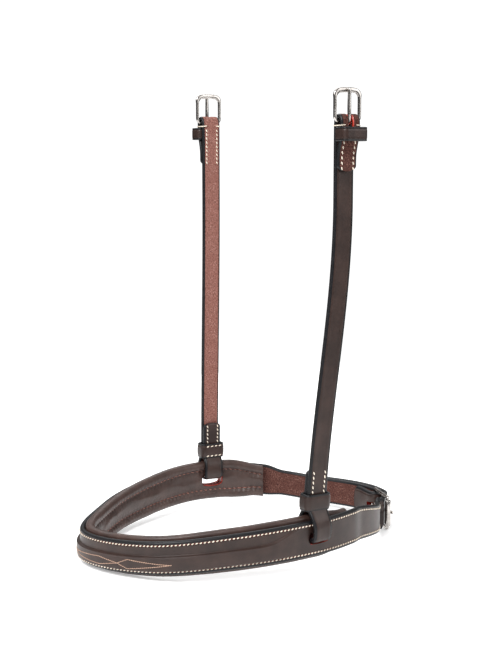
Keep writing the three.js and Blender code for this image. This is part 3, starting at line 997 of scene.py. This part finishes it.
def roundedLoop(x0, x1, y0, y1, corner, step=0.7):
    # points and outward directions of a rounded oblong, anticlockwise
    points, ways = [], []
    turns = [(x1 - corner, y0 + corner, -0.5), (x1 - corner, y1 - corner, 0.0),
             (x0 + corner, y1 - corner, 0.5), (x0 + corner, y0 + corner, 1.0)]
    for i, (cx, cy, start) in enumerate(turns):
        for angle in np.linspace(start * np.pi, (start + 0.5) * np.pi, 9):
            points.append((cx + corner * math.cos(angle), cy + corner * math.sin(angle)))
            ways.append((math.cos(angle), math.sin(angle)))
        nextX, nextY, _ = turns[(i + 1) % 4]
        leave = np.array(points[-1])
        arrive = np.array([nextX, nextY]) + corner * np.array(ways[-1])
        gap = float(np.linalg.norm(arrive - leave))
        for t in np.arange(step, gap - step * 0.5, step) / max(gap, 1e-6):
            points.append(tuple(leave + (arrive - leave) * t))
            ways.append(ways[-1])
    return np.array(points), np.array(ways)


def ovalSection(wide, deep, count=14, power=2.6):
    turn = np.linspace(0, 2 * np.pi, count, endpoint=False)
    c, s = np.cos(turn), np.sin(turn)
    return np.column_stack([np.sign(c) * np.abs(c) ** (2 / power) * wide / 2,
                            np.sign(s) * np.abs(s) ** (2 / power) * deep / 2])


def rodGrid(path, normals, side, widths, depths):
    # widths run along the normals, depths along side
    grid = []
    for point, normal, wide, deep in zip(path, normals, widths, depths):
        oval = ovalSection(wide, deep)
        grid.append(point + oval[:, :1] * normal + oval[:, 1:] * side)
    return np.array(grid)


def tonguePath(reach, tipRise, eye=2.75):
    # from round the bar at the origin to the tip: x along, y up
    turn = np.linspace(np.pi * 1.72, np.pi / 2, 20)
    loop = np.column_stack([eye * np.cos(turn), eye * np.sin(turn)])
    x = np.linspace(1.2, reach, 26)
    shank = np.column_stack([x, mix(eye, tipRise, x / reach) - 0.25 * np.sin(np.pi * x / reach)])
    return np.vstack([loop, shank])


def tongueGrid(reach, tipRise, width, toWorld):
    path = tonguePath(reach, tipRise)
    way = wayOf(path)
    normal = np.column_stack([-way[:, 1], way[:, 0]])
    lengths = lengthsOf(path)
    end = roundedEnd(lengths[-1] - lengths, 2.4, 2.2)
    deep = mix(1.3, 1.9, wave(13, 20, lengths)) * np.maximum(end, 0.25)
    wide = width * mix(1.0, 0.82, wave(20, lengths[-1], lengths)) * np.maximum(end, 0.3)
    grid = []
    for point, out, thick, across in zip(path, normal, deep, wide):
        oval = ovalSection(thick, across, power=2.3)
        grid.append(toWorld(point[0] + oval[:, 0] * out[0], point[1] + oval[:, 0] * out[1], oval[:, 1]))
    return np.array(grid)


# ---- the rear roller buckle

rearBuckle = {
    "height": 28.0,
    "pin": 2.0,
    "arm": 3.0,
    "rollerLength": 20.6,
    "rollerRadius": 2.3,
    "rollerBore": 1.7,
    "keeperAt": 395,
}


def chord3(e, m, z):
    e, m, z = np.broadcast_arrays(np.asarray(e, float), np.asarray(m, float), np.asarray(z, float))
    return np.concatenate([chord(e, m), (band["jawLift"] + z)[..., None]], -1)


def makeRearFrame():
    tall = rearBuckle["height"] / 2 - rearBuckle["arm"] / 2
    path, ways = roundedLoop(0, buckleReach, -tall, tall, 1.9)
    side = np.array([chordWay[1], -chordWay[0], 0])
    points = chord3(path[:, 0], 0, path[:, 1])
    normals = np.column_stack([ways[:, :1] * chordWay, ways[:, 1]])
    atArm = np.abs(path[:, 1]) > tall - 2
    widths = np.where(atArm, rearBuckle["arm"] - 0.2, rearBuckle["pin"])
    for _ in range(3):
        widths = (np.roll(widths, 1) + 2 * widths + np.roll(widths, -1)) / 4
    depths = np.full(len(path), 2.2)
    return skin("rearBuckleFrame", rodGrid(points, normals, side, widths, depths), [steel], closed=True)


def makeRoller():
    half = rearBuckle["rollerLength"] / 2
    r, bore = rearBuckle["rollerRadius"], rearBuckle["rollerBore"]
    outside = [(r - 0.35, half), (r, half - 0.45), (r, half * 0.5)]
    profile = [(bore, -half + 0.2), *((p, -z) for p, z in outside), (r + 0.03, 0),
               *outside[::-1], (bore, half - 0.2), (bore, 0)]
    turn = np.linspace(0, 2 * np.pi, 40, endpoint=False)
    grid = np.array([[chord3(p * math.cos(a), p * math.sin(a), z) for p, z in profile] for a in turn])
    return skin("rearRoller", grid, [steel], closed=True)


def makeRearTongue():
    toWorld = lambda x, y, a: chord3(buckleReach - x, y, a)
    return skin("rearTongue", tongueGrid(buckleReach + 1.6, 3.75, 3.0, toWorld), [steel])


def leatherLoop(name, loop, ways, height, wall, toWorld, bulge=0.0):
    # a keeper: a short strap sewn into a ring
    half = np.full(len(loop), height / 2)
    across, through, zones = strapRing(half, np.full(len(loop), wall), front=16, back=8, side=5)
    gap = half[:, None] - np.abs(across)
    through[:, :16] -= (0.30 * bell(gap - 1.5, 0.4))[:, :16]
    through = through + bulge * (1 - (across / half[:, None]) ** 2)
    x = loop[:, :1] + through * ways[:, :1]
    n = loop[:, 1:] + through * ways[:, 1:]
    return skin(name, toWorld(x, n, across), [grain, edging, flesh], zones, closed=True, gaps=gap)


def makeRearKeeper():
    # the ring stands across the strap: its own width runs along the band
    s = rearBuckle["keeperAt"]
    tall = band["plainHeight"] / 2 + 2.1
    loop, ways = roundedLoop(-3.7, 8.1, -tall, tall, 1.7)

    def toWorld(n, z, w):
        flat = bandPlace(s) + n[..., None] * bandOut(s)[:2] + w[..., None] * bandWay(s)
        return np.concatenate([flat, (band["jawLift"] + z)[..., None]], -1)

    return leatherLoop("rearKeeper", loop, ways, 10, 1.7, toWorld)


finishPiece(makeRearFrame(), "noseband", "steel", "rear_buckle_frame")
finishPiece(makeRoller(), "rear_roller", "steel", "rear_roller")
finishPiece(makeRearTongue(), "rear_tongue", "steel", "rear_tongue")
finishPiece(makeRearKeeper(), "noseband", "bridle_leather", "rear_keeper")
print("rear buckle made")


# ---- the hangers, in axes of their own: x along the band, n outwards, z up from the slot

hanger = {
    "width": 15.6,
    "leather": 3.45,
    "foldLeather": 3.0,
    "tabTop": 48.0,
    "turnback": 34.0,
    "keeperWall": 1.7,
    "keeperUp": 25.2,
    "rowsApart": 9.2,
    "mainN": 0.32,     # how far out the strap's own middle lies
    "tabN": -3.3,
    "flapN": 3.85,
}
sides = [
    # the two hangers are one leather; their inner sides differ only by painted light and shade
    {"name": "near", "s": slotPlaces[0], "facing": -1, "lean": -20.5, "rise": 0.2, "barUp": 289.5,
     "inner": flesh},
    {"name": "far", "s": slotPlaces[1], "facing": 1, "lean": 2.4, "rise": 3.9, "barUp": 293.5,
     "inner": litRosyFlesh},
]
pivotUp = 19.9
uprightFrom = 0.8
barOut = 4.3
eye = 3.75


def hangerPlace(side, x, n, z):
    x, n, z = np.broadcast_arrays(np.asarray(x, float), np.asarray(n, float), np.asarray(z, float))
    t = np.clip((z - pivotUp) / (side["barUp"] - pivotUp) / uprightFrom, 0, 1)
    x = x + side["lean"] * mix(1.5 * t - 0.5 * t ** 3, wave(0, 1, t), 0.6)
    along = bandWay(side["s"])
    bandX = np.array([-along[0], -along[1], 0])
    bandN = np.array([along[1], -along[0], 0])
    ownX = np.array([side["facing"], 0, 0])
    ownN = np.array([0, side["facing"], 0])
    turn = wave(6, 25, z)[..., None]
    xWay = unit(mix(bandX, ownX, turn))
    nWay = unit(mix(bandN, ownN, turn))
    origin = np.r_[bandPlace(side["s"]), lift(side["s"])]
    return origin + x[..., None] * xWay + n[..., None] * nWay + z[..., None] * up


def turnedBack(top):
    # the strap's end, from the bar down to its tip
    down = [(8.0, 4), (7.5, 9), (6.6, 13), (5.1, 18), (4.0, 22.5), (hanger["flapN"], 26)]
    down += [(hanger["flapN"], drop) for drop in np.linspace(28, hanger["turnback"], 5)]
    return [(n, top - drop) for n, drop in down]


def hangerPath(side):
    # (n, z) from the top of the inner end, down through the slot, up to the bar and back over it
    floor = -3.5 + side["rise"] + 2.1
    top = side["barUp"]
    tab = [(hanger["tabN"], z) for z in np.linspace(hanger["tabTop"], 26, 12)]
    inner = [(-3.6, 22.5), (-5.4, 18.6), (-8.4, 14.6), (-9.5, 10.5), (-9.6, 6.0), (-8.8, floor + 1.6)]
    under = [(-6.2, floor + 0.1), (-2.5, floor), (3.0, floor), (6.0, floor + 0.2)]
    outer = [(7.4, floor + 1.4), (8.0, 5.0), (7.9, 9.0), (6.8, 13.0), (4.4, 17.0), (1.6, 21.0), (0.5, 25)]
    main = [(hanger["mainN"], z) for z in np.linspace(30, top - 3, 80)]
    arc = [(barOut + eye * math.cos(a), top + eye * math.sin(a)) for a in np.linspace(np.pi, 0, 14)]
    return np.array(tab + inner + under + outer + main + arc + turnedBack(top))


def makeHanger(side):
    path = hangerPath(side)
    rough = np.column_stack([path, np.zeros(len(path))])
    total = lengthsOf(rough)[-1]
    at = stopsAlong(total, 0.8)
    line = resample(rough, at, passes=5)[:, :2]
    way = wayOf(line)
    normal = np.column_stack([way[:, 1], -way[:, 0]])
    thick = mix(hanger["leather"], hanger["foldLeather"], wave(total - 60, total - 45, at))
    ends = roundedEnd(at, 4, 3) * roundedEnd(total - at, 4.5, 2.4)
    half = hanger["width"] / 2 * ends
    thick = thick * mix(0.55, 1, wave(0, 1.6, np.minimum(at, total - at)))
    across, through, zones = strapRing(half, thick, front=26, back=14, side=6)
    gap = half[:, None] - np.abs(across)
    through[:, :26] -= (0.26 * bell(gap - 1.7, 0.34) - 0.10 * bell(gap - 3.2, 1.2))[:, :26]
    n = line[:, :1] + through * normal[:, :1]
    z = line[:, 1:] + through * normal[:, 1:]
    leathers = [grain, edging, side["inner"], redEdge]
    grid = hangerPlace(side, across, n, z)
    piece = skin(side["name"] + "Hanger", grid, leathers, zones, capZone=1, gaps=gap)
    return cutAway(piece, [tongueSlot(side)])


def tongueSlot(side):
    # an oblong slot over the fold for the buckle's tongue
    half = 2.3
    x = np.linspace(-half, half, 9)
    arch = half * np.sqrt(np.maximum(1 - (x / half) ** 2, 0))
    ring = np.vstack([np.column_stack([x, -3.6 - arch]), np.column_stack([x[::-1], 6 + arch[::-1]])])
    z = side["barUp"] + ring[:, 1]
    grid = np.array([hangerPlace(side, ring[:, 0], barOut + n, z) for n in (-1.6, 7)])
    return skin(side["name"] + "TongueSlot", grid, [redEdge])


def hangerRows(side, n, z0, z1, outward):
    # two rows up a hanger, n outwards; n may be worked out from the height
    z = np.arange(z0, z1, 0.8)
    n = n(z) if callable(n) else n
    way = np.array([0, side["facing"] * outward, 0])
    spread = hanger["rowsApart"] / 2
    return [(hangerPlace(side, x, n, z), way) for x in (-spread, spread)]


seamSizes = {"Pitch": 0.0031, "Length": 0.0025, "Width": 0.001, "Height": 0.0008, "Slant": 0.32,
             "Unevenness": 0.12, "Hole": 0.0011}


def makeHangerSeams(side):
    name, top = side["name"], side["barUp"]
    tip = top - hanger["turnback"]
    tabTop = hanger["tabTop"]
    rest = hanger["leather"] / 2 + 0.03
    turned = np.array(turnedBack(top))[::-1]
    flapFace = lambda z: np.interp(z, turned[:, 1], turned[:, 0]) + hanger["foldLeather"] / 2 + 0.12
    lower = hangerRows(side, hanger["mainN"] + rest, 32.5, tabTop - 1.5, 1)
    lower += hangerRows(side, hanger["tabN"] - rest, 32.5, tabTop - 2.5, -1)
    upper = hangerRows(side, flapFace, tip + 2, top - 14, 1)
    upper += hangerRows(side, hanger["mainN"] - rest, tip + 2, top - 6, -1)
    for place, rows in (("lower", lower), ("upper", upper)):
        seam = stitchRows(name + place.capitalize() + "Seam", rows, ecru, seamSizes)
        finishPiece(seam, name + "_hanger", "thread", f"{name}_{place}_seam")
    for x in (-1, 1):
        finishPiece(threadRound(side, x), name + "_hanger", "thread")


def threadRound(side, x):
    # a thread round the strap's edge, under the buckle, from the outer face to the inner one
    height = side["barUp"] - 2.6
    half = hanger["width"] / 2
    outerN = 7.8 + hanger["foldLeather"] / 2
    innerN = 0.3 - hanger["leather"] / 2
    path = [(4.4, outerN - 0.6), (4.6, outerN + 0.1), (half - 1, outerN + 0.15), (half, outerN - 0.5),
            (half + 0.35, outerN - 1.6), (half + 0.35, innerN + 1.6), (half, innerN + 0.5),
            (half - 1, innerN - 0.15), (4.6, innerN - 0.1), (4.4, innerN + 0.6)]
    path = np.column_stack([np.array(path), np.zeros(len(path))])
    line = resample(path, np.linspace(0, lengthsOf(path)[-1], 50), passes=2)[:, :2]
    way = wayOf(line)
    turn = np.linspace(0, 2 * np.pi, 8, endpoint=False)
    thick = 0.42
    across = thick * np.cos(turn)
    xs = x * (line[:, :1] - way[:, 1:] * across)
    ns = line[:, 1:] + way[:, :1] * across
    zs = height + thick * np.sin(turn) - 0.12 * (line[:, :1] - 4.4)
    grid = hangerPlace(side, xs, ns, zs)
    return skin(side["name"] + ("WrapRight" if x > 0 else "WrapLeft"), grid, [ecru])


def makeLowerKeeper(side):
    wide = hanger["width"] / 2 + 1.4
    loop, ways = roundedLoop(-wide, wide, -6.6, 3.6, 2.6)
    middle = hanger["keeperUp"]
    toWorld = lambda x, n, z: hangerPlace(side, x, n, middle + z)
    name = side["name"] + "LowerKeeper"
    keeper = leatherLoop(name, loop, ways, 12, hanger["keeperWall"], toWorld, bulge=0.5)
    x = np.arange(-5.5, 5.6, 1.0)
    inwards = np.array([0, -side["facing"], 0])
    rows = [(hangerPlace(side, x, -7.8, middle + z), inwards) for z in (-4.0, 4.0)]
    return keeper, stitchRows(side["name"] + "KeeperStitches", rows, ecru, seamSizes)


def makeUpperKeeper(side):
    wide = hanger["width"] / 2 + 1.25
    loop, ways = roundedLoop(-wide, wide, 3.6, 15.7, 2.4)
    toWorld = lambda x, n, z: hangerPlace(side, x, n, side["barUp"] - 8.8 + z)
    name = side["name"] + "UpperKeeper"
    return leatherLoop(name, loop, ways, 9.6, hanger["keeperWall"], toWorld)


topBuckle = {"width": 22.0, "reach": 22.5, "bar": 2.3, "farBar": 3.6, "arch": 1.0}


def makeTopBuckle(side):
    wide = topBuckle["width"] / 2 - 1.1
    path, ways = roundedLoop(-wide, wide, 0, topBuckle["reach"] - 1.9, 3.6)
    atFar = wave(15, 20, path[:, 1])
    path[:, 1] += atFar * (topBuckle["arch"] * (1 - (path[:, 0] / wide) ** 2) - 0.5)
    widths = mix(topBuckle["bar"], topBuckle["farBar"], atFar)
    depths = mix(2.4, 2.2, atFar)
    grid = []
    for point, way, width, depth in zip(path, ways, widths, depths):
        oval = ovalSection(width, depth, power=2.8)
        grid.append(hangerPlace(side, point[0] + oval[:, 0] * way[0], barOut + oval[:, 1],
                                side["barUp"] + point[1] + oval[:, 0] * way[1]))
    return skin(side["name"] + "BuckleFrame", np.array(grid), [steel], closed=True)


def makeTopTongue(side):
    toWorld = lambda x, y, a: hangerPlace(side, a, barOut + y, side["barUp"] + x)
    grid = tongueGrid(topBuckle["reach"] + 0.3, 2.85, 2.9, toWorld)
    return skin(side["name"] + "BuckleTongue", grid, [steel])


for side in sides:
    name = side["name"]
    strap = makeHanger(side)
    bendStart, bendEnd = (tuple(hangerPlace(side, 0, -1.5, z) / 1000) for z in (15, 26))
    name + "_hanger"
    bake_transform(strap)
    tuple(bendStart)
    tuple(bendEnd)
    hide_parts(name + "_hanger_strap", name + "_hanger_loop")
    makeHangerSeams(side)
    keeper, keeperStitches = makeLowerKeeper(side)
    finishPiece(keeper, name + "_lower_keeper", "bridle_leather", name + "_lower_keeper")
    finishPiece(keeperStitches, name + "_lower_keeper", "thread")
    finishPiece(makeUpperKeeper(side), name + "_hanger", "bridle_leather", name + "_upper_keeper")
    finishPiece(makeTopBuckle(side), name + "_buckle", "steel", name + "_buckle_frame")
    finishPiece(makeTopTongue(side), name + "_tongue", "steel", name + "_buckle_tongue")
    print(name, "hanger made")


# ---- floor, light and camera

studio = {
    "floor": 0.93,
    "floorGlow": 0.35,
    "floorHalf": 0.7,
    "seen": 1.1,       # the surround's brightness for the camera, then for light from above and level
    "high": 0.62,
    "low": 0.10,
    "keyPower": 26,
    "fillPower": 6,
    "backPower": 11,
}
cameraSet = {
    "lens": 68.6,
    "sensor": 36,
    "x": -454.19,
    "y": -830.98,
    "z": 284.56,
    "yaw": 29.08,
    "pitch": 7.60,
}


def makeFloor():
    shader = Shader("paleFloor")
    speck = shader.noise(shader.place(), 40, 3)
    material = shader.finish(
        Base_Color=shader.blend(speck, (studio["floor"],) * 3, (studio["floor"] + 0.02,) * 3),
        Roughness=0.9,
        Emission_Color=(1, 1, 1, 1),
        Emission_Strength=studio["floorGlow"],
    )
    mesh = bpy.data.meshes.new("floor")
    half = studio["floorHalf"]
    corners = [(-half, -half, 0), (half, -half, 0), (half, half, 0), (-half, half, 0)]
    mesh.from_pydata(corners, [], [(0, 1, 2, 3)])
    mesh.materials.append(material)
    floor = bpy.data.objects.new("floor", mesh)
    bpy.context.scene.collection.objects.link(floor)


def makeLight(name, where, target, size, power):
    light = bpy.data.lights.new(name, "AREA")
    light.shape = "RECTANGLE"
    light.size, light.size_y = size
    light.energy = power
    lamp = bpy.data.objects.new(name, light)
    lamp.location = where
    lamp.rotation_mode = "QUATERNION"
    lamp.rotation_quaternion = (Vector(target) - Vector(where)).to_track_quat("-Z", "Y")
    bpy.context.scene.collection.objects.link(lamp)


def makeSky():
    world = bpy.data.worlds.new("studioSky")
    world.use_nodes = True
    tree = world.node_tree
    background = tree.nodes["Background"]
    way = tree.nodes.new("ShaderNodeTexCoord").outputs["Generated"]
    height = tree.nodes.new("ShaderNodeSeparateXYZ")
    tree.links.new(way, height.inputs[0])
    ramp = tree.nodes.new("ShaderNodeMapRange")
    ramp.interpolation_type = "SMOOTHSTEP"
    tree.links.new(height.outputs[2], ramp.inputs["Value"])
    for socket, value in ((1, 0.05), (2, 0.75), (3, studio["low"]), (4, studio["high"])):
        ramp.inputs[socket].default_value = value
    choice = tree.nodes.new("ShaderNodeMix")
    tree.links.new(tree.nodes.new("ShaderNodeLightPath").outputs["Is Camera Ray"], choice.inputs[0])
    tree.links.new(ramp.outputs[0], choice.inputs[2])
    choice.inputs[3].default_value = studio["seen"]
    tree.links.new(choice.outputs[0], background.inputs["Strength"])
    background.inputs["Color"].default_value = (1, 1, 1, 1)
    bpy.context.scene.world = world


def makeCamera():
    lens = bpy.data.cameras.new("camera")
    lens.lens = cameraSet["lens"]
    lens.sensor_width = cameraSet["sensor"]
    camera = bpy.data.objects.new("camera", lens)
    camera.location = np.array([shift[0] + cameraSet["x"], shift[1] + cameraSet["y"], cameraSet["z"]]) / 1000
    yaw, pitch = math.radians(cameraSet["yaw"]), math.radians(cameraSet["pitch"])
    camera.rotation_euler = (math.pi / 2 - pitch, 0, -yaw)
    bpy.context.scene.collection.objects.link(camera)
    bpy.context.scene.camera = camera


bpy.context.scene.view_settings.view_transform = "Standard"
makeFloor()
makeSky()
makeLight("keyLight", (-0.9, -0.5, 1.1), (0, 0, 0.05), (0.9, 0.6), studio["keyPower"])
makeLight("fillLight", (0.8, -0.9, 0.7), (0, 0, 0.05), (0.8, 0.8), studio["fillPower"])
makeLight("backLight", (0.3, 0.9, 1.3), (0, 0, 0.05), (1.2, 0.8), studio["backPower"])
makeCamera()

print("scene made")
